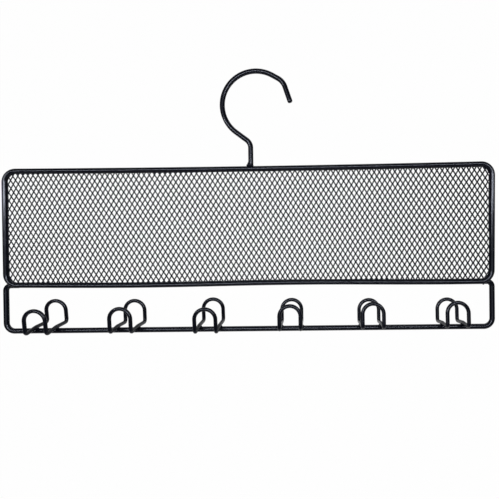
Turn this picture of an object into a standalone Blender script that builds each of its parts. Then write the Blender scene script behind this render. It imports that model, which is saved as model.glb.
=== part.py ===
"""Hanging jewelry organizer: a welded wire hanger with a mesh panel and a rail of double hooks.

Metres, +Z up, +X to the right seen from the front, +Y to the back.
The origin is the inside crown of the hanger hook, where a closet rod carries the whole piece.
"""

import math

import bmesh
import bpy
from mathutils import Matrix, Vector

MM = 0.001

# Wire gauges over their coating, and the clearance between pieces that touch
FRAME_WIRE = 4.1 * MM
RAIL_WIRE = 4.1 * MM
HANGER_WIRE = 4.1 * MM
HOOK_WIRE = 2.8 * MM
SEAT_GAP = 0.3 * MM

# Upper frame: a closed rectangle of wire, sizes over its outside
FRAME_WIDTH = 396.4 * MM
FRAME_HEIGHT = 97.2 * MM
FRAME_BEND = 9.0 * MM

# Hanger hook: a straight stem, a neck turned to the left, a short straight, the round crown,
# and a lead that bends down to the tip
CROWN_INSIDE = 25.1 * MM
CROWN_RISE = 50.5 * MM
CROWN_OFFSET = 8.1 * MM
CROWN_END_DEG = 60.5
STEM_OFFSET = 4.7 * MM
NECK_BEND = 8.0 * MM
NECK_TURN_DEG = 53.0
LEAD_LENGTH = 9.8 * MM
TIP_BEND = 12.0 * MM
TIP_TURN_DEG = 41.8
TIP_LENGTH = 13.8 * MM

# Lower loop: rail and legs of one wire, a little wider than the frame and welded on a little to
# the left, its arms folded in behind the frame's bottom wire
LOOP_OVERHANG = 2.0 * MM
LOOP_SHIFT = -0.7 * MM
RAIL_DROP = 37.2 * MM
RAIL_BEND = 6.8 * MM
ARM_BEND = 4.0 * MM
ARM_LENGTH = 11.0 * MM
ARM_DROP = 0.7 * MM

# Double hooks: closed loops of wire that lie across the rail and stand up before and behind it,
# evenly spaced under the frame, with a margin left over at each end of the rail
HOOK_COUNT = 6
HOOK_END_MARGIN = 34.45 * MM
HOOK_FRONT = 14.5 * MM
HOOK_BACK = 16.0 * MM
HOOK_SPREAD = 16.6 * MM
HOOK_RISE = 17.3 * MM
HOOK_FOOT_BEND = 2.5 * MM
HOOK_LEANS_DEG = (7.5, 3.5, 5.0, 1.5, -2.0, -1.5)

# Mesh panel: one sheet with diamond openings and a plain hem, drawn coarser than the real mesh;
# its edge lies on the wire's flank, this far round from the frame's plane to the back
PANEL_FLANK_DEG = 41.0
PANEL_THICKNESS = 0.9 * MM
HEM_WIDTH = 0.8 * MM
STRAND_WIDTH = 1.4 * MM
DIAMOND_COLUMNS = 28
DIAMOND_ROWS = 4
PANEL_CORNER_SHARE = 0.25

# Weld beads, half sizes along X, Y and Z
STEM_BEAD = (3.1 * MM, 3.0 * MM, 2.9 * MM)
STEM_BEAD_OFFSET = 0.5 * MM
SEAT_BEAD = (2.8 * MM, 2.3 * MM, 1.6 * MM)
ARM_BEAD = (2.6 * MM, 1.5 * MM, 0.8 * MM)
ARM_BEAD_DEPTH_SHARE = 0.94

# Fineness of the bends, in degrees per step, and of the round sections
BEND_STEP_DEG = 15.0
CROWN_STEP_DEG = 7.5
ARCH_STEP_DEG = 22.5
HEAVY_RESOLUTION = 3
LIGHT_RESOLUTION = 2
BEAD_SEGMENTS = 16
BEAD_RINGS = 10
CUTTER_SEGMENTS = 32
SHARP_EDGE_DEG = 40.0
CUT_OVERRUN = 2.0 * MM

# Derived sizes
FRAME_R = FRAME_WIRE / 2
RAIL_R = RAIL_WIRE / 2
HANGER_R = HANGER_WIRE / 2
HOOK_R = HOOK_WIRE / 2
FRAME_HALF_W = FRAME_WIDTH / 2 - FRAME_R
FRAME_HALF_H = FRAME_HEIGHT / 2 - FRAME_R
CROWN_R = CROWN_INSIDE + HANGER_R
LOOP_WIDTH = FRAME_WIDTH + 2 * LOOP_OVERHANG
LOOP_HALF_W = LOOP_WIDTH / 2 - RAIL_R
HOOK_PITCH = (LOOP_WIDTH - 2 * HOOK_END_MARGIN) / (HOOK_COUNT - 1)
ARM_REACH = FRAME_R + SEAT_GAP + RAIL_R
LOOP_Y = math.sqrt(ARM_REACH ** 2 - ARM_DROP ** 2)
SEAT_Z = RAIL_R + SEAT_GAP + HOOK_R
PANEL_INSET = (FRAME_R + SEAT_GAP) * math.cos(math.radians(PANEL_FLANK_DEG))
PANEL_Y = (FRAME_R + SEAT_GAP) * math.sin(math.radians(PANEL_FLANK_DEG))

# Places of the main centres
CROWN_CENTRE = Vector((0.0, 0.0, -CROWN_INSIDE))
TOP_WIRE_Z = CROWN_CENTRE.z - CROWN_RISE
FRAME_CENTRE = Vector((-CROWN_OFFSET, 0.0, TOP_WIRE_Z - FRAME_HALF_H))
BOTTOM_WIRE_Z = FRAME_CENTRE.z - FRAME_HALF_H
RAIL_CENTRE = Vector((FRAME_CENTRE.x + LOOP_SHIFT, LOOP_Y, BOTTOM_WIRE_Z - RAIL_DROP))

# Coating of the metal, linear colour, and its gloss
COAT_COLOUR = (0.012, 0.012, 0.016, 1.0)
COAT_ROUGHNESS = 0.32
MESH_ROUGHNESS = 0.45


def clear_scene():
    for obj in list(bpy.data.objects):
        bpy.data.objects.remove(obj, do_unlink=True)


def coat(name, roughness):
    """Black powder coat, one material for each piece."""
    material = bpy.data.materials.new(name + "_coat")
    material.use_nodes = True
    shader = material.node_tree.nodes["Principled BSDF"]
    shader.inputs["Base Color"].default_value = COAT_COLOUR
    shader.inputs["Roughness"].default_value = roughness
    shader.inputs["Metallic"].default_value = 0.0
    material.diffuse_color = COAT_COLOUR
    return material


def place(name, data, parent, location, lean=0.0):
    obj = bpy.data.objects.new(name, data)
    bpy.context.collection.objects.link(obj)
    obj.parent = parent
    obj.location = location
    obj.rotation_euler = (lean, 0.0, 0.0)
    return obj


def arc(centre, radius, start_deg, end_deg, step_deg):
    """Points of an arc in a plane, both ends included, as (along, up) pairs."""
    steps = max(2, math.ceil(abs(end_deg - start_deg) / step_deg))
    points = []
    for i in range(steps + 1):
        angle = math.radians(start_deg + (end_deg - start_deg) * i / steps)
        along = centre[0] + radius * math.cos(angle)
        up = centre[1] + radius * math.sin(angle)
        points.append((along, up))
    return points


def tube(name, points, radius, resolution, closed, parent, location, lean=0.0):
    """A round wire along the points; a closed one has no ends."""
    curve = bpy.data.curves.new(name, "CURVE")
    curve.dimensions = "3D"
    curve.bevel_depth = radius
    curve.bevel_resolution = resolution
    curve.use_fill_caps = not closed
    curve.render_resolution_u = 0
    spline = curve.splines.new("POLY")
    spline.points.add(len(points) - 1)
    for point, place_on_wire in zip(spline.points, points):
        point.co = (*place_on_wire, 1.0)
    spline.use_cyclic_u = closed
    spline.use_smooth = True
    curve.materials.append(coat(name, COAT_ROUGHNESS))
    return place(name, curve, parent, location, lean)


def build_frame_wire(parent):
    across = FRAME_HALF_W - FRAME_BEND
    up = FRAME_HALF_H - FRAME_BEND
    corners = ((across, up, 0.0), (-across, up, 90.0), (-across, -up, 180.0), (across, -up, 270.0))
    points = []
    for x, z, start in corners:
        bend = arc((x, z), FRAME_BEND, start, start + 90.0, BEND_STEP_DEG)
        points += [(a, 0.0, b) for a, b in bend]
    tube("frame_wire", points, FRAME_R, HEAVY_RESOLUTION, True, parent, FRAME_CENTRE)


def hanger_points():
    """From the foot of the stem up the neck, round the crown and down to the tip.

    The neck's height is the one at which the straight above it just touches the crown's circle.
    """
    foot = -CROWN_RISE + FRAME_R + SEAT_GAP
    turn = math.radians(NECK_TURN_DEG)
    neck_x = -STEM_OFFSET - NECK_BEND
    leave_x = neck_x + NECK_BEND * math.cos(turn)
    leave_z = -(CROWN_R + leave_x * math.cos(turn)) / math.sin(turn)
    neck_z = leave_z - NECK_BEND * math.sin(turn)
    points = [(-STEM_OFFSET, foot)]
    points += arc((neck_x, neck_z), NECK_BEND, 0.0, NECK_TURN_DEG, BEND_STEP_DEG)
    points += arc((0.0, 0.0), CROWN_R, 180.0 + NECK_TURN_DEG, CROWN_END_DEG, CROWN_STEP_DEG)
    heading = CROWN_END_DEG - 90.0
    lead = LEAD_LENGTH - TIP_BEND * math.tan(math.radians(TIP_TURN_DEG) / 2)
    bend_start = step_on(points[-1], heading, lead)
    bend_centre = step_on(bend_start, heading - 90.0, TIP_BEND)
    points += arc(bend_centre, TIP_BEND, heading + 90.0, heading + 90.0 - TIP_TURN_DEG, BEND_STEP_DEG)
    points.append(step_on(points[-1], heading - TIP_TURN_DEG, TIP_LENGTH))
    return [(a, 0.0, b) for a, b in points]


def step_on(start, heading_deg, length):
    angle = math.radians(heading_deg)
    return (start[0] + length * math.cos(angle), start[1] + length * math.sin(angle))


def build_hanger_hook(parent):
    tube("hanger_hook", hanger_points(), HANGER_R, HEAVY_RESOLUTION, False, parent, CROWN_CENTRE)


def build_lower_rail(parent):
    """One wire: arm, leg, rail, leg, arm, drawn about the middle of the rail."""
    arm_z = RAIL_DROP - ARM_DROP
    top_x = LOOP_HALF_W - ARM_BEND
    low_x = LOOP_HALF_W - RAIL_BEND
    half = [(LOOP_HALF_W - ARM_LENGTH, arm_z)]
    half += arc((top_x, arm_z - ARM_BEND), ARM_BEND, 90.0, 0.0, BEND_STEP_DEG)
    half += arc((low_x, RAIL_BEND), RAIL_BEND, 0.0, -90.0, BEND_STEP_DEG)
    right = [(x, 0.0, z) for x, z in half]
    left = [(-x, y, z) for x, y, z in reversed(right)]
    tube("lower_rail", right + left, RAIL_R, HEAVY_RESOLUTION, False, parent, RAIL_CENTRE)


def double_hook_points():
    """Closed loop: seat, back arch, seat, front arch, about the middle of the rail."""
    half = HOOK_SPREAD / 2
    arch_z = SEAT_Z + HOOK_RISE - half
    foot_z = SEAT_Z + HOOK_FOOT_BEND
    back_foot = arc((HOOK_BACK - HOOK_FOOT_BEND, foot_z), HOOK_FOOT_BEND, -90.0, 0.0, ARCH_STEP_DEG)
    front_foot = arc((-HOOK_FRONT + HOOK_FOOT_BEND, foot_z), HOOK_FOOT_BEND, 180.0, 270.0, ARCH_STEP_DEG)
    arch = arc((0.0, arch_z), half, 180.0, 0.0, ARCH_STEP_DEG)
    points = [(-half, y, z) for y, z in back_foot]
    points += [(x, HOOK_BACK, z) for x, z in arch]
    points += [(half, y, z) for y, z in reversed(back_foot)]
    points += [(half, y, z) for y, z in reversed(front_foot)]
    points += [(x, -HOOK_FRONT, z) for x, z in reversed(arch)]
    points += [(-half, y, z) for y, z in front_foot]
    return points


def hook_places():
    """Name, place on the rail and lean of each double hook, from left to right."""
    first = FRAME_CENTRE.x - HOOK_PITCH * (HOOK_COUNT - 1) / 2
    for i in range(HOOK_COUNT):
        spot = Vector((first + i * HOOK_PITCH, RAIL_CENTRE.y, RAIL_CENTRE.z))
        lean = math.radians(HOOK_LEANS_DEG[i % len(HOOK_LEANS_DEG)])
        yield f"double_hook_{i + 1}", spot, lean


def build_double_hooks(parent):
    for name, spot, lean in hook_places():
        tube(name, double_hook_points(), HOOK_R, LIGHT_RESOLUTION, True, parent, spot, lean)


def diamond_cells(half_w, half_h):
    """Corner rings of every opening of the panel, the half ones at its edges included."""
    step_x = half_w / DIAMOND_COLUMNS
    step_z = half_h / DIAMOND_ROWS
    for i in range(-DIAMOND_COLUMNS, DIAMOND_COLUMNS + 1):
        for j in range(-DIAMOND_ROWS, DIAMOND_ROWS + 1):
            if (i + j + DIAMOND_COLUMNS + DIAMOND_ROWS) % 2 == 0:
                continue
            ring = [(i + 1, j), (i, j + 1), (i - 1, j), (i, j - 1)]
            inside = [(a, b) for a, b in ring if abs(a) <= DIAMOND_COLUMNS and abs(b) <= DIAMOND_ROWS]
            yield [(a * step_x, b * step_z) for a, b in inside]


def pull_corners_in(bm, net_w, net_h):
    """The panel's corners keep clear of the frame's bends."""
    pull = PANEL_CORNER_SHARE * FRAME_BEND
    for vert in bm.verts:
        x, z = vert.co.x, vert.co.z
        if abs(x) > net_w - STRAND_WIDTH / 2 and abs(z) > net_h - STRAND_WIDTH / 2:
            vert.co.x -= math.copysign(pull, x)
            vert.co.z -= math.copysign(pull, z)


def build_mesh_panel(parent):
    half_w = FRAME_HALF_W - PANEL_INSET
    half_h = FRAME_HALF_H - PANEL_INSET
    net_w = half_w - HEM_WIDTH
    net_h = half_h - HEM_WIDTH
    bm = bmesh.new()
    corners = {}
    for ring in diamond_cells(net_w, net_h):
        verts = []
        for x, z in ring:
            key = (round(x / STRAND_WIDTH, 3), round(z / STRAND_WIDTH, 3))
            if key not in corners:
                corners[key] = bm.verts.new((x, 0.0, z))
            verts.append(corners[key])
        bm.faces.new(verts)
    bmesh.ops.recalc_face_normals(bm, faces=bm.faces)
    rim = [edge for edge in bm.edges if edge.is_boundary]
    cells = list(bm.faces)
    grown = bmesh.ops.extrude_edge_only(bm, edges=rim)
    outer = [item for item in grown["geom"] if isinstance(item, bmesh.types.BMVert)]
    for vert in outer:
        x_side = math.copysign(1.0, vert.co.x) * (abs(vert.co.x) > net_w - STRAND_WIDTH / 2)
        z_side = math.copysign(1.0, vert.co.z) * (abs(vert.co.z) > net_h - STRAND_WIDTH / 2)
        vert.co.x += x_side * HEM_WIDTH
        vert.co.z += z_side * HEM_WIDTH
    pull_corners_in(bm, net_w, net_h)
    bmesh.ops.inset_individual(bm, faces=cells, thickness=STRAND_WIDTH / 2, use_even_offset=True)
    bmesh.ops.delete(bm, geom=cells, context="FACES")
    flat = bmesh.ops.extrude_face_region(bm, geom=list(bm.faces), use_keep_orig=True)
    lifted = [item for item in flat["geom"] if isinstance(item, bmesh.types.BMVert)]
    bmesh.ops.translate(bm, verts=lifted, vec=(0.0, PANEL_THICKNESS, 0.0))
    bmesh.ops.recalc_face_normals(bm, faces=bm.faces)
    mesh = bpy.data.meshes.new("mesh_panel")
    bm.to_mesh(mesh)
    bm.free()
    mesh.materials.append(coat("mesh_panel", MESH_ROUGHNESS))
    place("mesh_panel", mesh, parent, FRAME_CENTRE + Vector((0.0, PANEL_Y, 0.0)))


def cutter(name, radius, length, along, location):
    """A plain bar of the wire's size and its clearance, used only to cut weld beads."""
    bm = bmesh.new()
    turn = Vector((0.0, 0.0, 1.0)).rotation_difference(Vector(along)).to_matrix().to_4x4()
    bmesh.ops.create_cone(bm, cap_ends=True, segments=CUTTER_SEGMENTS, radius1=radius, radius2=radius,
                          depth=length, matrix=Matrix.Translation(location) @ turn)
    mesh = bpy.data.meshes.new(name)
    bm.to_mesh(mesh)
    bm.free()
    obj = place(name, mesh, None, (0.0, 0.0, 0.0))
    obj.hide_render = True
    obj.display_type = "WIRE"
    return obj


def cut_bead(half_sizes, centre, cutters):
    """Mesh of a bead: an egg of weld metal with the wires and their clearance cut out of it."""
    bm = bmesh.new()
    shape = Matrix.Translation(centre) @ Matrix.Diagonal((*half_sizes, 1.0))
    bmesh.ops.create_uvsphere(bm, u_segments=BEAD_SEGMENTS, v_segments=BEAD_RINGS, radius=1.0, matrix=shape)
    mesh = bpy.data.meshes.new("bead")
    bm.to_mesh(mesh)
    bm.free()
    bead = place("bead", mesh, None, (0.0, 0.0, 0.0))
    for tool in cutters:
        cut = bead.modifiers.new(tool.name, "BOOLEAN")
        cut.operation = "DIFFERENCE"
        cut.solver = "EXACT"
        cut.object = tool
    bpy.context.view_layer.update()
    cut_mesh = bpy.data.meshes.new_from_object(bead.evaluated_get(bpy.context.evaluated_depsgraph_get()))
    bpy.data.objects.remove(bead, do_unlink=True)
    for tool in cutters:
        bpy.data.objects.remove(tool, do_unlink=True)
    return cut_mesh


def place_bead(name, mesh, parent, location, lean=0.0):
    copy = mesh.copy()
    copy.name = name
    copy.materials.clear()
    copy.materials.append(coat(name, COAT_ROUGHNESS))
    copy.shade_smooth()
    copy.set_sharp_from_angle(angle=math.radians(SHARP_EDGE_DEG))
    return place(name, copy, parent, location, lean)


def build_stem_weld(parent):
    """Bead at the foot of the hanger's stem, on top of the frame's wire."""
    reach = 2 * (max(STEM_BEAD) + STEM_BEAD_OFFSET + CUT_OVERRUN)
    wire = cutter("top_wire_cut", FRAME_R + SEAT_GAP, reach, (1.0, 0.0, 0.0), (0.0, 0.0, 0.0))
    stem = cutter("stem_cut", HANGER_R + SEAT_GAP, reach, (0.0, 0.0, 1.0), (0.0, 0.0, reach / 2))
    mesh = cut_bead(STEM_BEAD, (-STEM_BEAD_OFFSET, 0.0, FRAME_R), [wire, stem])
    place_bead("hanger_hook_weld", mesh, parent, (-STEM_OFFSET, 0.0, TOP_WIRE_Z))


def build_seat_welds(parent):
    """Beads where each double hook lies across the rail, one under each of its two seats."""
    reach = 2 * (max(SEAT_BEAD) + CUT_OVERRUN)
    rail = cutter("rail_cut", RAIL_R + SEAT_GAP, reach, (1.0, 0.0, 0.0), (0.0, 0.0, 0.0))
    seat = cutter("seat_cut", HOOK_R + SEAT_GAP, reach, (0.0, 1.0, 0.0), (0.0, 0.0, SEAT_Z))
    mesh = cut_bead(SEAT_BEAD, (0.0, 0.0, RAIL_R + SEAT_GAP / 2), [rail, seat])
    for name, spot, lean in hook_places():
        for side, word in ((-1, "left"), (1, "right")):
            at = spot + Vector((side * HOOK_SPREAD / 2, 0.0, 0.0))
            place_bead(f"{name}_weld_{word}", mesh, parent, at, lean)


def build_arm_welds(parent):
    """Beads in the groove under the frame's bottom wire, at the ends of the loop's arms."""
    reach = 2 * (max(ARM_BEAD) + CUT_OVERRUN)
    wire = cutter("bottom_wire_cut", FRAME_R + SEAT_GAP, reach, (1.0, 0.0, 0.0), (0.0, 0.0, 0.0))
    arm = cutter("arm_cut", RAIL_R + SEAT_GAP, reach, (1.0, 0.0, 0.0), (0.0, LOOP_Y, -ARM_DROP))
    middle_y = LOOP_Y * FRAME_R / (FRAME_R + RAIL_R)
    mesh = cut_bead(ARM_BEAD, (0.0, middle_y, -FRAME_R * ARM_BEAD_DEPTH_SHARE), [wire, arm])
    along = LOOP_HALF_W - ARM_LENGTH + ARM_BEAD[0]
    for side, word in ((-1, "left"), (1, "right")):
        at = (RAIL_CENTRE.x + side * along, 0.0, BOTTOM_WIRE_Z)
        place_bead(f"rail_arm_weld_{word}", mesh, parent, at)


def main():
    clear_scene()
    rod_rest = place("rod_rest", None, None, (0.0, 0.0, 0.0))
    build_frame_wire(rod_rest)
    build_mesh_panel(rod_rest)
    build_hanger_hook(rod_rest)
    build_lower_rail(rod_rest)
    build_double_hooks(rod_rest)
    build_stem_weld(rod_rest)
    build_seat_welds(rod_rest)
    build_arm_welds(rod_rest)
    bpy.context.view_layer.update()


main()
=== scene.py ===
# Hanging jewelry organizer: the looks of its coated wires, welds and expanded mesh,
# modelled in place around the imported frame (metres, +Z up, +Y to the back)

import math

import bmesh
import bpy
from mathutils import Matrix, Vector, noise


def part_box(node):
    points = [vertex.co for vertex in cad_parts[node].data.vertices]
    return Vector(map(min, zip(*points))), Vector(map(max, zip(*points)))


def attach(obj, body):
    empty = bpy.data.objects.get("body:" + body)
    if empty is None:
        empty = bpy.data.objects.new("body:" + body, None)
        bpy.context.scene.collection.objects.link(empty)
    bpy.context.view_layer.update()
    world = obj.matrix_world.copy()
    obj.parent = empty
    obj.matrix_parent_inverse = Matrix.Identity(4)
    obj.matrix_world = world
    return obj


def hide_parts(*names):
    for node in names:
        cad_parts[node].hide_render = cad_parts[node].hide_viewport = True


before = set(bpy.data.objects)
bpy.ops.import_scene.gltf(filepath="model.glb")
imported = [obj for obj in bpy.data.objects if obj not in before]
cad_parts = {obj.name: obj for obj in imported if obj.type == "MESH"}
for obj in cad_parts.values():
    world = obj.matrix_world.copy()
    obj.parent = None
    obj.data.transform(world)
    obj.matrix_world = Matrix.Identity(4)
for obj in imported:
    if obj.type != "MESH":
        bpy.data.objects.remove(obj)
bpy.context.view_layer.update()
mm = 0.001
xAxis, yAxis, zAxis = Vector((1, 0, 0)), Vector((0, 1, 0)), Vector((0, 0, 1))


# Small helpers for colours, nodes, meshes and finished pieces

def srgbToLinear(hexColour):
    channels = [int(hexColour[i:i + 2], 16) / 255 for i in (1, 3, 5)]
    linear = [c / 12.92 if c <= 0.04045 else ((c + 0.055) / 1.055) ** 2.4 for c in channels]
    return (*linear, 1.0)


def cosSin(deg):
    return math.cos(math.radians(deg)), math.sin(math.radians(deg))


def addNode(tree, kind, settings=None, links=None):
    node = tree.nodes.new(kind)
    for name, value in (settings or {}).items():
        if name in node.inputs:
            node.inputs[name].default_value = value
        else:
            setattr(node, name, value)
    for name, socket in (links or {}).items():
        tree.links.new(socket, node.inputs[name])
    return node


def colourStops(ramp, stops):  # place and colour of each of the ramp's two stops
    for element, (place, colour) in zip(ramp.color_ramp.elements, stops):
        element.position = place
        element.color = colour


def vertsOf(geom):
    return [item for item in geom if isinstance(item, bmesh.types.BMVert)]


def edgesOf(geom):
    return [item for item in geom if isinstance(item, bmesh.types.BMEdge)]


def everythingIn(bm):
    return list(bm.verts) + list(bm.edges) + list(bm.faces)


def meshFrom(bm, name):
    mesh = bpy.data.meshes.new(name)
    bm.to_mesh(mesh)
    bm.free()
    return mesh


def addObject(name, data):
    added = bpy.data.objects.new(name, data)
    bpy.context.scene.collection.objects.link(added)
    return added


def finishPiece(name, bm, material, nodes, sharpDeg=40.0):
    mesh = meshFrom(bm, name)
    mesh.materials.append(material)
    mesh.shade_smooth()
    mesh.set_sharp_from_angle(angle=math.radians(sharpDeg))
    piece = addObject(name, mesh)
    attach(piece, "root")
    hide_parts(*nodes)
    return piece


def boxOf(node):
    low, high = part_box(node)
    return low, high, (low + high) / 2


# Finishes: one black powder coat, on drawn wire, on weld metal and on expanded sheet

coatLook = {
    "deep": "#02030A",        # where the coat is thick
    "thin": "#05060F",        # where it is drawn thin over a bend
    "ior": 1.5,               # polyester powder, baked
    "shine": 0.40,            # carbon black at the surface keeps most of the gloss down
    "bloom": "#D0D5E5",       # and gives what is left of it a blue cast
    "roughness": (0.18, 0.21),
    "flow": 9.0 * mm,         # size of the slow changes in tone and gloss
    "toneFlow": (0.35, 0.7),  # where in those changes the coat turns from thick to thin,
    "glossFlow": (0.3, 0.7),  # and from smooth to rough
    "peel": 1.3 * mm,         # orange peel; drawn a little coarse so that it shows
    "peelDepth": 0.0012 * mm,
}


def powderCoat(name, look, grit=None, gritDepth=0.0):
    material = bpy.data.materials.new(name)
    material.use_nodes = True
    tree = material.node_tree
    shader = tree.nodes["Principled BSDF"]
    shader.inputs["Metallic"].default_value = 0.0
    shader.inputs["IOR"].default_value = look["ior"]
    shader.inputs["Specular IOR Level"].default_value = look["shine"]
    shader.inputs["Specular Tint"].default_value = srgbToLinear(look["bloom"])
    place = addNode(tree, "ShaderNodeTexCoord").outputs["Object"]
    flow = addNode(tree, "ShaderNodeTexNoise", {"Scale": 1 / look["flow"], "Detail": 2.0},
                   {"Vector": place})
    tone = addNode(tree, "ShaderNodeValToRGB", links={"Fac": flow.outputs["Fac"]})
    colours = (srgbToLinear(look["deep"]), srgbToLinear(look["thin"]))
    colourStops(tone, zip(look["toneFlow"], colours))
    smoothUpTo, roughFrom = look["glossFlow"]
    smooth, rough = look["roughness"]
    gloss = addNode(tree, "ShaderNodeMapRange",
                    {"From Min": smoothUpTo, "From Max": roughFrom,
                     "To Min": smooth, "To Max": rough},
                    {"Value": flow.outputs["Fac"]})
    peel = addNode(tree, "ShaderNodeTexNoise", {"Scale": 1 / look["peel"], "Detail": 1.0},
                   {"Vector": place})
    bump = addNode(tree, "ShaderNodeBump", {"Strength": 1.0, "Distance": look["peelDepth"]},
                   {"Height": peel.outputs["Fac"]})
    if grit:
        coarse = addNode(tree, "ShaderNodeTexNoise", {"Scale": 1 / grit, "Detail": 3.0},
                         {"Vector": place})
        bump = addNode(tree, "ShaderNodeBump", {"Strength": 1.0, "Distance": gritDepth},
                       {"Height": coarse.outputs["Fac"], "Normal": bump.outputs["Normal"]})
    tree.links.new(tone.outputs["Color"], shader.inputs["Base Color"])
    tree.links.new(gloss.outputs["Result"], shader.inputs["Roughness"])
    tree.links.new(bump.outputs["Normal"], shader.inputs["Normal"])
    return material


# Satin black on drawn wire: a soft grey streak along each wire, near black towards its edges
wireCoat = powderCoat("satin_powder_coat_on_drawn_steel_wire", coatLook)
# The same coat over weld metal: duller and a little lumpy
weldCoat = powderCoat("satin_powder_coat_on_weld_metal", {**coatLook, "roughness": (0.34, 0.46)},
                      grit=1.2 * mm, gritDepth=0.10 * mm)
# The same coat on cut and stretched sheet: duller, as the powder gathers on the sheared edges
meshCoat = powderCoat("satin_powder_coat_on_expanded_steel",
                      {**coatLook, "shine": 0.22, "roughness": (0.45, 0.55)})
print("finishes made")


# Wires are made as a wire bender makes them: a round section is fed straight and bent by turns

wireShop = {
    "feedStep": 2.5 * mm,    # short, so that a rounded end tilts the shading of the last step alone
    "bendStepDeg": 6.0,
    "endRound": 0.5 * mm,    # a sheared end, its rim rounded by the coat
    "jointGap": 0.01 * mm,   # rings closer than this are one
}


def startWire(at, heading, gauge, sides):
    bm = bmesh.new()
    turn = zAxis.rotation_difference(heading).to_matrix().to_4x4()
    bmesh.ops.create_circle(bm, segments=sides, radius=gauge / 2,
                            matrix=Matrix.Translation(at) @ turn)
    # "ring" is the end that is fed on, and "first" the end that the wire starts from
    return {"bm": bm, "ring": list(bm.edges), "first": list(bm.edges),
            "at": at.copy(), "heading": heading.copy()}


def feedWire(wire, length, step=wireShop["feedStep"]):
    count = max(1, round(length / step))
    for _ in range(count):
        grown = bmesh.ops.extrude_edge_only(wire["bm"], edges=wire["ring"])["geom"]
        verts = set(vertsOf(grown))
        wire["ring"] = [edge for edge in edgesOf(grown) if set(edge.verts) <= verts]
        bmesh.ops.translate(wire["bm"], verts=list(verts), vec=wire["heading"] * (length / count))
    wire["at"] += wire["heading"] * length


def bendWire(wire, radius, turnDeg, axis, stepDeg=wireShop["bendStepDeg"]):
    angle = math.radians(turnDeg)
    side = math.copysign(1.0, turnDeg)   # the bend's centre lies on the side that it turns to
    centre = wire["at"] + axis.cross(wire["heading"]) * (radius * side)
    steps = max(2, math.ceil(abs(turnDeg) / stepDeg))
    ringVerts = list({vert for edge in wire["ring"] for vert in edge.verts})
    spun = bmesh.ops.spin(wire["bm"], geom=ringVerts + wire["ring"], cent=centre, axis=axis,
                          angle=angle, steps=steps, use_merge=False)
    wire["ring"] = edgesOf(spun["geom_last"])
    turn = Matrix.Rotation(angle, 3, axis)
    wire["at"] = centre + turn @ (wire["at"] - centre)
    wire["heading"] = turn @ wire["heading"]


def capWire(wire, edges, rimRound):
    ends = bmesh.ops.contextual_create(wire["bm"], geom=edges)["faces"]
    rim = [edge for face in ends for edge in face.edges]
    bmesh.ops.bevel(wire["bm"], geom=rim, offset=rimRound, offset_type="OFFSET", segments=3,
                    profile=0.5, affect="EDGES", material=-1)


def closeWire(wire):  # the last ring has come back to the first
    bmesh.ops.remove_doubles(wire["bm"], verts=wire["bm"].verts, dist=wireShop["jointGap"])
    bmesh.ops.recalc_face_normals(wire["bm"], faces=wire["bm"].faces)
    return wire["bm"]


def endWire(wire, rimRound=wireShop["endRound"]):
    capWire(wire, wire["first"], rimRound)
    capWire(wire, wire["ring"], rimRound)
    bmesh.ops.recalc_face_normals(wire["bm"], faces=wire["bm"].faces)
    return wire["bm"]


# Upper frame: one wire bent into a rectangle, its ends butt welded under the coat

frameWire = {
    "gauge": 4.1 * mm,
    "bend": 9.0 * mm,        # corner radius at the wire's middle
    "sides": 32,
}
frameLow, frameHigh, frameCentre = boxOf("frame_wire")
frameR = frameWire["gauge"] / 2
frameHalfW = (frameHigh.x - frameLow.x) / 2 - frameR
frameHalfH = (frameHigh.z - frameLow.z) / 2 - frameR

frameSet = {  # bent and welded by hand, the frame and its sheet aren't quite straight and square
    "topDip": 0.46 * mm,     # the top wire sags in the middle,
    "topTilt": 0.61 * mm,    # rises to the right
    "topBow": 0.98 * mm,     # and turns up towards its ends
    "bottomWave": 0.5 * mm,  # the bottom wire waves: down left of the middle, up right of it
    "waveShare": 1.3,        # length and place of that wave, as shares of half the width
    "crestShare": 0.2,
    "cornerPull": 1.15 * mm, # the top right corner is pulled outwards
}


def offSquare(point):  # how far a point, placed from the frame's middle, is off a straight frame
    look = frameSet
    u, topShare = point.x / frameHalfW, (point.z / frameHalfH + 1) / 2
    top = -look["topDip"] + look["topTilt"] * u + look["topBow"] * u * u
    wave = math.cos(2 * math.pi * (u - look["crestShare"]) / look["waveShare"])
    bottom = look["bottomWave"] * wave
    pull = look["cornerPull"] * topShare * (u + 1) / 2
    return Vector((pull, 0, topShare * top + (1 - topShare) * bottom))


def setOffSquare(bm):
    for vert in bm.verts:
        vert.co += offSquare(vert.co)


def bendFrameWire():
    across = 2 * (frameHalfW - frameWire["bend"])
    up = 2 * (frameHalfH - frameWire["bend"])
    start = Vector((-across / 2, 0, frameHalfH))
    wire = startWire(start, xAxis, frameWire["gauge"], frameWire["sides"])
    for run in (across, up, across, up):
        feedWire(wire, run)
        bendWire(wire, frameWire["bend"], 90.0, yAxis)
    bm = closeWire(wire)
    setOffSquare(bm)
    bmesh.ops.translate(bm, verts=bm.verts, vec=frameCentre)
    return bm


finishPiece("coated_frame_wire", bendFrameWire(), wireCoat, ["frame_wire"])
print("frame wire bent")


# Hanger hook: straight stem, a soft neck to the left, a round crown and a tip turned down

hangerWire = {
    "gauge": 4.1 * mm,
    "crown": 27.15 * mm,     # radius at the wire's middle
    "crownEndDeg": 60.5,
    "crownStepDeg": 4.0,     # finer steps than in the small bends, so that the crown looks round
    "stem": 4.7 * mm,        # the stem stands this far left of the crown's middle
    "neck": 8.0 * mm,
    "neckTurnDeg": 53.0,
    "lead": 9.8 * mm,        # from the crown's end to the corner that the tip's bend rounds
    "tipBend": 12.0 * mm,
    "tipTurnDeg": 41.8,
    "tip": 13.8 * mm,
    "footSink": 0.8 * mm,    # the foot is pressed into the frame's wire
    "endRound": 1.4 * mm,
    "sides": 32,
}


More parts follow.
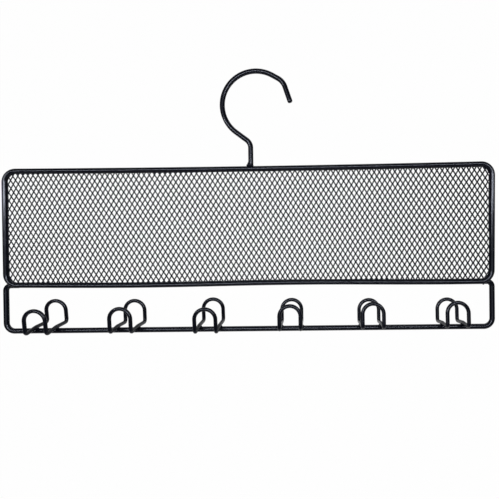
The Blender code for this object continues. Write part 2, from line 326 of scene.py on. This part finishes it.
def bendHangerHook():
    look = hangerWire
    crown, neck = look["crown"], look["neck"]
    crownCentreZ = look["gauge"] / 2 - crown
    cosine, sine = cosSin(look["neckTurnDeg"])
    leaveX = -look["stem"] - neck * (1 - cosine)   # the neck ends where its straight
    leaveZ = -(crown + leaveX * cosine) / sine     # touches the crown
    straight = (crown * cosine + leaveX) * sine - (crown * sine + leaveZ) * cosine
    foot = Vector((-look["stem"], 0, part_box("hanger_hook")[0].z - look["footSink"]))
    wire = startWire(foot, zAxis, look["gauge"], look["sides"])
    feedWire(wire, crownCentreZ + leaveZ - neck * sine - foot.z)
    bendWire(wire, neck, -look["neckTurnDeg"], yAxis)
    feedWire(wire, straight)
    crownTurnDeg = 180.0 + look["neckTurnDeg"] - look["crownEndDeg"]
    bendWire(wire, crown, crownTurnDeg, yAxis, stepDeg=look["crownStepDeg"])
    feedWire(wire, look["lead"] - look["tipBend"] * math.tan(math.radians(look["tipTurnDeg"]) / 2))
    bendWire(wire, look["tipBend"], look["tipTurnDeg"], yAxis)
    feedWire(wire, look["tip"])
    return endWire(wire, look["endRound"])


finishPiece("coated_hanger_hook", bendHangerHook(), wireCoat, ["hanger_hook"])
print("hanger hook bent")


# Lower loop: arm, leg, rail, leg and arm of one wire

railWire = {
    "gauge": 4.3 * mm,       # thicker by its coat than the frame's wire
    "drop": 0.3 * mm,        # how far the rail's underside hangs below its nominal place
    "railBend": 6.8 * mm,
    "armBend": 4.0 * mm,
    "arm": 11.0 * mm,        # from the leg's middle to the arm's end
    "leftLift": 0.8 * mm,    # the welds draw the arms up beside the frame's wire,
    "rightLift": 0.15 * mm,  # the left one further
    "spread": 0.35 * mm,     # the legs stand a little further apart than the bends ask
    "sides": 32,
}
railLow, railHigh, railBoxCentre = boxOf("lower_rail")
railR = railWire["gauge"] / 2
railZ = railLow.z + railR - railWire["drop"]
railCentre = Vector((railBoxCentre.x, railBoxCentre.y, railZ))
railHalfW = (railHigh.x - railLow.x) / 2 - railR + railWire["spread"]
armZ = railHigh.z - railR


def bendLowerRail():
    look = railWire
    legUp = armZ - railZ - look["armBend"] - look["railBend"]
    startX = railCentre.x + railHalfW - look["arm"]
    start = Vector((startX, railCentre.y, armZ + look["rightLift"]))
    wire = startWire(start, xAxis, look["gauge"], look["sides"])
    feedWire(wire, look["arm"] - look["armBend"])
    bendWire(wire, look["armBend"], 90.0, yAxis)
    feedWire(wire, legUp + look["rightLift"])
    bendWire(wire, look["railBend"], 90.0, yAxis)
    feedWire(wire, 2 * (railHalfW - look["railBend"]))
    bendWire(wire, look["railBend"], 90.0, yAxis)
    feedWire(wire, legUp + look["leftLift"])
    bendWire(wire, look["armBend"], 90.0, yAxis)
    feedWire(wire, look["arm"] - look["armBend"])
    return endWire(wire)


finishPiece("coated_lower_rail", bendLowerRail(), wireCoat, ["lower_rail"])
print("lower rail bent")


# Double hooks: each is a closed loop of thin wire, two seats across the rail and two arches

hookWire = {
    "gauge": 3.1 * mm,       # over a full coat
    "front": 14.5 * mm,      # from the rail's middle to the front arch
    "back": 16.0 * mm,
    "spread": 16.6 * mm,     # between the middles of its two seats
    "top": 20.8 * mm,        # from the rail's middle up to the wire's middle in the arches' tops
    "foot": 2.5 * mm,        # bend between seat and arch
    "footStepDeg": 11.25,
    "seat": 3.2 * mm,        # the weld has pressed the seats into the rail
    "saddle": 5.0 * mm,      # and bent them over it, so that they droop to both sides
    "droopBackDeg": 2.0,
    "droopFrontDeg": 6.0,
    "leansDeg": (7.2, 4.0, 7.0, 1.5, -2.0, -2.8),
    # how far from their even places the hooks were welded on
    "aside": (-0.6 * mm, -0.1 * mm, 0.55 * mm, 0.7 * mm, -0.1 * mm, 0.0),
    "sides": 24,
}


def leanHook(bm, number):  # drawn about the rail's middle, then leaned and set in place
    lean = Matrix.Rotation(math.radians(hookWire["leansDeg"][number - 1]), 4, xAxis)
    x = boxOf(f"double_hook_{number}")[2].x + hookWire["aside"][number - 1]
    place = Matrix.Translation((x, railCentre.y, railCentre.z))
    bmesh.ops.transform(bm, verts=bm.verts, matrix=place @ lean)


def bendDoubleHook(number):
    look = hookWire
    half, saddle, foot, seat = look["spread"] / 2, look["saddle"], look["foot"], look["seat"]
    wire = startWire(Vector((-half, 0, seat)), yAxis, look["gauge"], look["sides"])
    for reach, droopDeg, side in ((look["back"], look["droopBackDeg"], 1.0),
                                  (look["front"], look["droopFrontDeg"], -1.0)):
        cosine, sine = cosSin(droopDeg)
        slope = (reach - saddle * sine - foot * (1 + sine)) / cosine
        footTop = seat - saddle * (1 - cosine) - slope * sine + foot * cosine
        leg = look["top"] - half - footTop
        footTurnDeg = (90.0 + droopDeg) * side
        bendWire(wire, saddle, -droopDeg * side, xAxis)
        feedWire(wire, slope)
        bendWire(wire, foot, footTurnDeg, xAxis, stepDeg=look["footStepDeg"])
        feedWire(wire, leg)
        bendWire(wire, half, 180.0 * side, yAxis)
        feedWire(wire, leg)
        bendWire(wire, foot, -footTurnDeg, xAxis, stepDeg=look["footStepDeg"])
        feedWire(wire, slope)
        bendWire(wire, saddle, droopDeg * side, xAxis)
    bm = closeWire(wire)
    leanHook(bm, number)
    return bm


hookNumbers = range(1, len(hookWire["leansDeg"]) + 1)
for number in hookNumbers:
    finishPiece(f"coated_double_hook_{number}", bendDoubleHook(number), wireCoat,
                [f"double_hook_{number}"])
print("double hooks bent")


# Welds: lobes of weld metal that run into each other and up the wires they join

weldLook = {
    "lobeSegments": (24, 16),
    "voxel": 0.22 * mm,
    "smoothRounds": 4,       # how often the metal's surface is eased, and how far each time
    "smoothFactor": 0.5,
    "lump": 0.10 * mm,       # how far the surface wanders
    "lumpSize": 1.4 * mm,
    "seedStep": 7,           # keeps the beads of neighbouring hooks unlike each other
    "stemSeed": 3,
    "sharpDeg": 60.0,
}


def weldBead(lobes, seed):
    around, upwards = weldLook["lobeSegments"]
    bm = bmesh.new()
    for centre, halfSizes in lobes:
        shape = Matrix.Translation(centre) @ Matrix.Diagonal((*halfSizes, 1.0))
        bmesh.ops.create_uvsphere(bm, u_segments=around, v_segments=upwards, radius=1.0,
                                  matrix=shape)
    lobesObject = addObject("weld_lobes", meshFrom(bm, "weld_lobes"))
    remesh = lobesObject.modifiers.new("flow", "REMESH")
    remesh.mode = "VOXEL"
    remesh.voxel_size = weldLook["voxel"]
    bpy.context.view_layer.update()
    evaluated = lobesObject.evaluated_get(bpy.context.evaluated_depsgraph_get())
    flowed = bpy.data.meshes.new_from_object(evaluated)
    bpy.data.objects.remove(lobesObject, do_unlink=True)
    bm = bmesh.new()
    bm.from_mesh(flowed)
    for _ in range(weldLook["smoothRounds"]):
        bmesh.ops.smooth_vert(bm, verts=bm.verts, factor=weldLook["smoothFactor"],
                              use_axis_x=True, use_axis_y=True, use_axis_z=True)
    for vert in bm.verts:
        wander = noise.noise(vert.co / weldLook["lumpSize"] + Vector((seed, 0, 0)))
        vert.co += vert.normal * (wander * weldLook["lump"])
    return bm


def finishWeld(bead, node):
    finishPiece(f"coated_{node}", bead, weldCoat, [node], weldLook["sharpDeg"])


# Each lobe below is its middle and its half sizes, first from the rail's middle under a seat:
# two along the rail's top, one up the seat's sides, and a core between the wires
hookR = hookWire["gauge"] / 2
seatLobes = [
    (Vector((0, 0, railR - 0.1 * mm)), (2.5 * mm, 1.5 * mm, 0.9 * mm)),
    (Vector((0, 0, railR + 0.4 * mm)), (1.9 * mm, 1.7 * mm, 1.1 * mm)),
    (Vector((0, 0, railR - 0.2 * mm)), (1.7 * mm, 2.3 * mm, 0.9 * mm)),
    (Vector((0, 0, railR + hookR - 0.8 * mm)), (1.0 * mm, 2.8 * mm, 1.0 * mm)),
]
for number in hookNumbers:
    for side, word in ((-1, "left"), (1, "right")):
        bead = weldBead(seatLobes, seed=number * weldLook["seedStep"] + side)
        bmesh.ops.translate(bead, verts=bead.verts, vec=(side * hookWire["spread"] / 2, 0, 0))
        leanHook(bead, number)
        finishWeld(bead, f"double_hook_{number}_weld_{word}")

stemLobes = [  # from the top wire's middle under the stem
    (Vector((-1.2 * mm, 0, frameR + 0.2 * mm)), (2.6 * mm, 1.5 * mm, 1.2 * mm)),
    (Vector((-0.7 * mm, 0, frameR + 1.2 * mm)), (2.1 * mm, 2.1 * mm, 2.4 * mm)),
    (Vector((0.5 * mm, 0, frameR + 0.1 * mm)), (1.8 * mm, 1.9 * mm, 0.7 * mm)),
    (Vector((-0.2 * mm, -0.5 * mm, frameR + 0.3 * mm)), (1.9 * mm, 2.0 * mm, 1.3 * mm)),
]
bead = weldBead(stemLobes, seed=weldLook["stemSeed"])
stemFoot = Vector((-hangerWire["stem"], frameCentre.y, frameHigh.z - frameR))
bmesh.ops.translate(bead, verts=bead.verts, vec=stemFoot)
finishWeld(bead, "hanger_hook_weld")

armLobes = {  # from the nominal bead's middle; the right one has a drop that shows underneath
    "left": [(Vector((0, 0, 1.1 * mm)), (2.8 * mm, 1.4 * mm, 0.7 * mm))],
    "right": [(Vector((0.6 * mm, 0, 0.3 * mm)), (3.2 * mm, 1.4 * mm, 0.7 * mm)),
              (Vector((0.5 * mm, -0.6 * mm, -0.4 * mm)), (0.9 * mm, 0.9 * mm, 0.8 * mm))],
}
for word, lobes in armLobes.items():
    node = f"rail_arm_weld_{word}"
    bead = weldBead(lobes, seed=len(word))   # the words differ in length, so the beads differ too
    bmesh.ops.translate(bead, verts=bead.verts, vec=boxOf(node)[2])
    finishWeld(bead, node)
print("welds laid")


# Mesh panel: expanded sheet with upright diamonds, welded to the rear flank of the frame's wire

sheet = {
    "across": 4.157 * mm,    # from diamond to diamond along the panel
    "up": 6.54 * mm,         # from diamond to diamond up the panel
    "bondHeight": 0.55 * mm,
    "bondWidth": 1.36 * mm,
    "bondSpread": 0.35 * mm, # wider bonds at the right end, where the sheet is stretched less
    "bondShare": 0.4,        # corners past this share of half a diamond's width belong to a bond
    "strand": 0.765 * mm,
    "round": 0.10 * mm,      # the coat rounds the strands' edges
    "thickness": 0.47 * mm,
    "twist": 0.16 * mm,      # stretched strands tip a little out of the sheet
    "turnDeg": 1.17,         # the sheet sits a little turned in its frame
    "phase": Vector((-0.64, 0, -2.6)) * mm,   # the diamond nearest the panel's middle
    "sway": 0.9 * mm,        # the sheet isn't stretched quite evenly: its columns sway,
    "swayLength": 270.0 * mm,
    "rightPull": 1.5 * mm,   # are wider towards the right end
    "fan": 0.7 * mm,         # and fan out towards the top,
    "rowBow": 1.0 * mm,      # while its rows arch
    "rowFan": 0.33 * mm,     # and close up towards the right
    "hemInset": 1.75 * mm,   # from the frame wire's middle to the sheet's cut edge
    "hem": 0.25 * mm,
    "behind": 0.4 * mm,      # the sheet's face lies this far behind the wire's middle
    "cornerCutsDeg": (22.5, 45.0, 67.5),
    "openShare": 0.16,       # a cut diamond under this share of a whole one is left solid
    "jointGap": 0.02 * mm,   # corners of neighbouring diamonds closer than this are one
    "cutGap": 0.001 * mm,    # a corner this close to a cut lies on it
    "sliver": 0.05 * mm,     # and edges shorter than this close up after the cuts
    "sharpDeg": 60.0,
}
meanSquare = 1 / 3           # of -1 to 1; keeps an arched row at its mean height


def latticeSheet(halfW, halfH):
    across, up, bond = sheet["across"], sheet["up"], sheet["bondHeight"]
    bm = bmesh.new()
    bmesh.ops.create_circle(bm, cap_ends=True, segments=6, radius=across,
                            matrix=Matrix.Rotation(math.pi / 2, 4, "X"))
    for vert in bm.verts:  # the six corners of one cell, set to the diamond's size
        atSide = abs(vert.co.x) > across / 4
        x = math.copysign(across / 2, vert.co.x) if atSide else 0.0
        z = math.copysign(bond / 2 if atSide else up / 2 - bond / 2, vert.co.z)
        vert.co = (x, 0, z)
    columns = math.ceil(halfW / across) + 2
    rows = math.ceil(halfH / up) + 2
    twin = bmesh.ops.duplicate(bm, geom=everythingIn(bm))["geom"]
    bmesh.ops.translate(bm, verts=vertsOf(twin), vec=(across / 2, 0, up / 2))
    for step, count in ((Vector((across, 0, 0)), columns), (Vector((0, 0, up)), rows)):
        block = everythingIn(bm)
        for i in range(-count, count + 1):
            if i:
                copy = bmesh.ops.duplicate(bm, geom=block)["geom"]
                bmesh.ops.translate(bm, verts=vertsOf(copy), vec=step * i)
    bmesh.ops.remove_doubles(bm, verts=bm.verts, dist=sheet["jointGap"])
    turn = Matrix.Rotation(-math.radians(sheet["turnDeg"]), 4, "Y")
    bmesh.ops.transform(bm, verts=bm.verts, matrix=Matrix.Translation(sheet["phase"]) @ turn)
    for vert in bm.verts:
        x, u, v = vert.co.x, vert.co.x / halfW, vert.co.z / halfH
        vert.co.x += sheet["sway"] * math.cos(2 * math.pi * x / sheet["swayLength"])
        vert.co.x += sheet["rightPull"] * max(u, 0) ** 2 + sheet["fan"] * u * v
        vert.co.z += sheet["rowBow"] * (meanSquare - u * u) - sheet["rowFan"] * u * v
        vert.co -= offSquare(vert.co)   # only the sheet's cut edge follows the frame
    return bm


def trimSheet(bm, halfW, halfH, corner):  # straight cuts at the sides, tangent ones at corners
    cuts = [(Vector((sx * halfW, 0, 0)), Vector((sx, 0, 0))) for sx in (-1, 1)]
    cuts += [(Vector((0, 0, sz * halfH)), Vector((0, 0, sz))) for sz in (-1, 1)]
    for sx in (-1, 1):
        for sz in (-1, 1):
            middle = Vector((sx * (halfW - corner), 0, sz * (halfH - corner)))
            for deg in sheet["cornerCutsDeg"]:
                cosine, sine = cosSin(deg)
                out = Vector((sx * cosine, 0, sz * sine))
                cuts.append((middle + out * corner, out))
    for point, out in cuts:
        bmesh.ops.bisect_plane(bm, geom=everythingIn(bm), dist=sheet["cutGap"], plane_co=point,
                               plane_no=out, clear_outer=True)
    bmesh.ops.remove_doubles(bm, verts=bm.verts, dist=sheet["sliver"])


def outwardAt(point, halfW, halfH, corner):
    over = Vector((abs(point.x) - (halfW - corner), 0, abs(point.z) - (halfH - corner)))
    if over.x > 0 and over.z > 0:
        out = over.normalized()
    else:
        out = Vector((1, 0, 0)) if over.x > over.z else Vector((0, 0, 1))
    return Vector((math.copysign(out.x, point.x), 0, math.copysign(out.z, point.z)))


def expandedMesh():
    inset = sheet["hemInset"] + sheet["hem"]
    halfW, halfH, corner = frameHalfW - inset, frameHalfH - inset, frameWire["bend"] - inset
    bm = latticeSheet(halfW, halfH)
    trimSheet(bm, halfW, halfH, corner)
    wholeCell = sheet["across"] * sheet["up"] / 2
    cells = [face for face in bm.faces if face.calc_area() > sheet["openShare"] * wholeCell]
    rim = [edge for edge in bm.edges if edge.is_boundary]
    for vert in vertsOf(bmesh.ops.extrude_edge_only(bm, edges=rim)["geom"]):
        vert.co += outwardAt(vert.co, halfW, halfH, corner) * sheet["hem"]
    # the flats of the strands: each cell is inset, and further at its sides, where the bonds are
    inner = bm.verts.layers.int.new("inner")
    flat = sheet["strand"] / 2 - sheet["round"]
    bmesh.ops.inset_individual(bm, faces=cells, thickness=flat, use_even_offset=True)
    for face in cells:
        middle = face.calc_center_median()
        bondWidth = sheet["bondWidth"] + sheet["bondSpread"] * middle.x / halfW
        widen = (bondWidth - sheet["strand"]) / 2
        for vert in face.verts:
            off = (vert.co.x - middle.x) / (sheet["across"] / 2)
            if abs(off) > sheet["bondShare"]:
                vert.co.x -= math.copysign(widen, off)
                vert.co.y -= math.copysign(sheet["twist"], off)
    # their rounded front edges, then the holes
    bmesh.ops.inset_individual(bm, faces=cells, thickness=sheet["round"], use_even_offset=True)
    for face in cells:
        for vert in face.verts:
            vert.co.y += sheet["round"]
            vert[inner] = 1
    bmesh.ops.delete(bm, geom=cells, context="FACES")
    # the back, rounded in the same way
    lifted = bmesh.ops.extrude_face_region(bm, geom=list(bm.faces), use_keep_orig=True)["geom"]
    for vert in vertsOf(lifted):
        vert.co.y += sheet["thickness"] - 2 * sheet["round"] * vert[inner]
    bmesh.ops.recalc_face_normals(bm, faces=bm.faces)
    setOffSquare(bm)
    bmesh.ops.translate(bm, verts=bm.verts, vec=frameCentre + Vector((0, sheet["behind"], 0)))
    return bm


finishPiece("coated_expanded_mesh", expandedMesh(), meshCoat, ["mesh_panel"],
            sheet["sharpDeg"])
print("mesh panel stretched")


# Stage: one pale sweep, floor and backdrop in one, that the camera sees as white

stageLook = {
    "floorDrop": 0.60,       # metres below the rail
    "backdrop": 1.30,        # metres behind the frame
    "width": 7.0,
    "depth": 0.4,            # metres in front of the frame
    "height": 2.4,
    "sweep": 0.5,
    "step": 1.0,             # metres; its flat runs need no more
    "colour": "#EDEDEF",
    "roughness": 0.9,
    "glow": 0.988,           # share of plain white that the camera sees; the rest keeps the shadow
    "glossShare": 0.35,      # and of that, the share that shows in the coat
}
worldLook = {
    "fill": "#8C8C90",       # dim room round the lamps
    "fillStrength": 0.25,
    "white": "#FEFEFE",      # as the sweep comes out
    "glossShare": 0.05,      # the coat shows the room in front of the sweep as dim as a studio's is
}


def whiteToTheEye(tree, glossShare):  # 1 for camera and transmission rays, a share for glossy
    rays = addNode(tree, "ShaderNodeLightPath")
    gloss = addNode(tree, "ShaderNodeMath", {"operation": "MULTIPLY"})
    tree.links.new(rays.outputs["Is Glossy Ray"], gloss.inputs[0])
    gloss.inputs[1].default_value = glossShare
    seen = addNode(tree, "ShaderNodeMath", {"operation": "MAXIMUM"})
    tree.links.new(rays.outputs["Is Camera Ray"], seen.inputs[0])
    tree.links.new(gloss.outputs[0], seen.inputs[1])
    both = addNode(tree, "ShaderNodeMath", {"operation": "MAXIMUM"})
    tree.links.new(seen.outputs[0], both.inputs[0])
    tree.links.new(rays.outputs["Is Transmission Ray"], both.inputs[1])
    return both.outputs[0]


def palePaper():
    look = stageLook
    material = bpy.data.materials.new("pale_paper_sweep")
    material.use_nodes = True
    tree = material.node_tree
    shader = tree.nodes["Principled BSDF"]
    shader.inputs["Base Color"].default_value = srgbToLinear(look["colour"])
    shader.inputs["Roughness"].default_value = look["roughness"]
    glow = addNode(tree, "ShaderNodeEmission", {"Color": (1, 1, 1, 1), "Strength": 1.0})
    share = addNode(tree, "ShaderNodeMath", {"operation": "MULTIPLY"})
    tree.links.new(whiteToTheEye(tree, look["glossShare"]), share.inputs[0])
    share.inputs[1].default_value = look["glow"]
    mix = addNode(tree, "ShaderNodeMixShader", links={"Fac": share.outputs[0]})
    tree.links.new(shader.outputs["BSDF"], mix.inputs[1])
    tree.links.new(glow.outputs["Emission"], mix.inputs[2])
    tree.links.new(mix.outputs["Shader"], tree.nodes["Material Output"].inputs["Surface"])
    return material


def paperSweep():  # one edge fed back along the floor, bent up and fed up the backdrop
    look = stageLook
    floorZ = railZ - look["floorDrop"]
    bm = bmesh.new()
    sides = (-look["width"] / 2, look["width"] / 2)
    front = [bm.verts.new((x, -look["depth"], floorZ)) for x in sides]
    paper = {"bm": bm, "ring": [bm.edges.new(front)],
             "at": Vector((0, -look["depth"], floorZ)), "heading": yAxis.copy()}
    feedWire(paper, look["depth"] + look["backdrop"] - look["sweep"], step=look["step"])
    bendWire(paper, look["sweep"], 90.0, xAxis)
    feedWire(paper, look["height"], step=look["step"])
    mesh = meshFrom(bm, "paper_sweep")
    mesh.materials.append(palePaper())
    mesh.shade_smooth()
    addObject("paper_sweep", mesh)


def studioWorld():
    look = worldLook
    world = bpy.data.worlds.new("studio")
    world.use_nodes = True
    bpy.context.scene.world = world
    tree = world.node_tree
    tree.nodes.clear()
    room = addNode(tree, "ShaderNodeBackground",
                   {"Color": srgbToLinear(look["fill"]), "Strength": look["fillStrength"]})
    white = addNode(tree, "ShaderNodeBackground",
                    {"Color": srgbToLinear(look["white"]), "Strength": 1.0})
    ground = addNode(tree, "ShaderNodeMixShader",
                     links={"Fac": whiteToTheEye(tree, look["glossShare"])})
    tree.links.new(room.outputs["Background"], ground.inputs[1])
    tree.links.new(white.outputs["Background"], ground.inputs[2])
    addNode(tree, "ShaderNodeOutputWorld", links={"Surface": ground.outputs["Shader"]})


paperSweep()
studioWorld()

lamps = {  # place from the frame's middle and size in metres; tiltDeg lifts the right end
    "strip_softbox": {"at": (-0.05, -0.60, 0.087), "size": (1.15, 0.045),
                      "watts": 5.0, "tiltDeg": 1.4},
    "upper_softbox": {"at": (-0.05, -0.80, 0.225), "size": (1.1, 0.13),
                      "watts": 0.65, "tiltDeg": 0.0},
    "low_fill": {"at": (-0.1, -0.90, -0.17), "size": (0.5, 0.2),
                 "watts": 0.6, "tiltDeg": 0.0},
    "overhead": {"at": (0.1, 0.45, 1.1), "size": (1.4, 0.3),
                 "watts": 4.0, "tiltDeg": 0.0},
}


def addLamp(name, look):
    data = bpy.data.lights.new(name, "AREA")
    data.shape = "RECTANGLE"
    data.size, data.size_y = look["size"]
    data.energy = look["watts"]
    lamp = addObject(name, data)
    lamp.location = frameCentre + Vector(look["at"])
    aim = (frameCentre - lamp.location).to_track_quat("-Z", "Y").to_matrix()
    tilt = Matrix.Rotation(math.radians(look["tiltDeg"]), 3, "Z")
    lamp.rotation_euler = (aim @ tilt).to_euler()
    lamp.visible_camera = False


for name, look in lamps.items():
    addLamp(name, look)
print("stage and lamps set")


# Camera: in front of the panel, right of its middle and a little below it

cameraLook = {
    "at": Vector((54.75, -370.0, -8.6)) * mm,   # from the middle of the mesh panel's frame
    "yawDeg": 0.407,
    "pitchDeg": -0.418,
    "rollDeg": 0.659,
    "focalPixels": 459.73,
    "middlePixels": (312.29, 239.08),           # where the camera's axis meets the photograph
    "imagePixels": 499,
    "sensorWidth": 36.0,                        # millimetres, as the lens is given
    "clip": (0.01, 30.0),                       # metres
}


def addCamera():
    look = cameraLook
    data = bpy.data.cameras.new("photo_camera")
    data.sensor_fit = "HORIZONTAL"
    data.sensor_width = look["sensorWidth"]
    data.lens = data.sensor_width * look["focalPixels"] / look["imagePixels"]
    middleX, middleY = look["middlePixels"]
    data.shift_x = (look["imagePixels"] / 2 - middleX) / look["imagePixels"]
    data.shift_y = (middleY - look["imagePixels"] / 2) / look["imagePixels"]
    data.clip_start, data.clip_end = look["clip"]
    camera = addObject("photo_camera", data)
    aim = (Matrix.Rotation(math.radians(look["yawDeg"]), 4, "Z")
           @ Matrix.Rotation(math.radians(look["pitchDeg"]), 4, "X")
           @ Matrix.Rotation(math.radians(look["rollDeg"]), 4, "Y")
           @ Matrix.Rotation(math.pi / 2, 4, "X"))
    camera.matrix_world = Matrix.Translation(frameCentre + look["at"]) @ aim
    bpy.context.scene.camera = camera


addCamera()
bpy.context.scene.view_settings.view_transform = "Standard"
print("camera set")
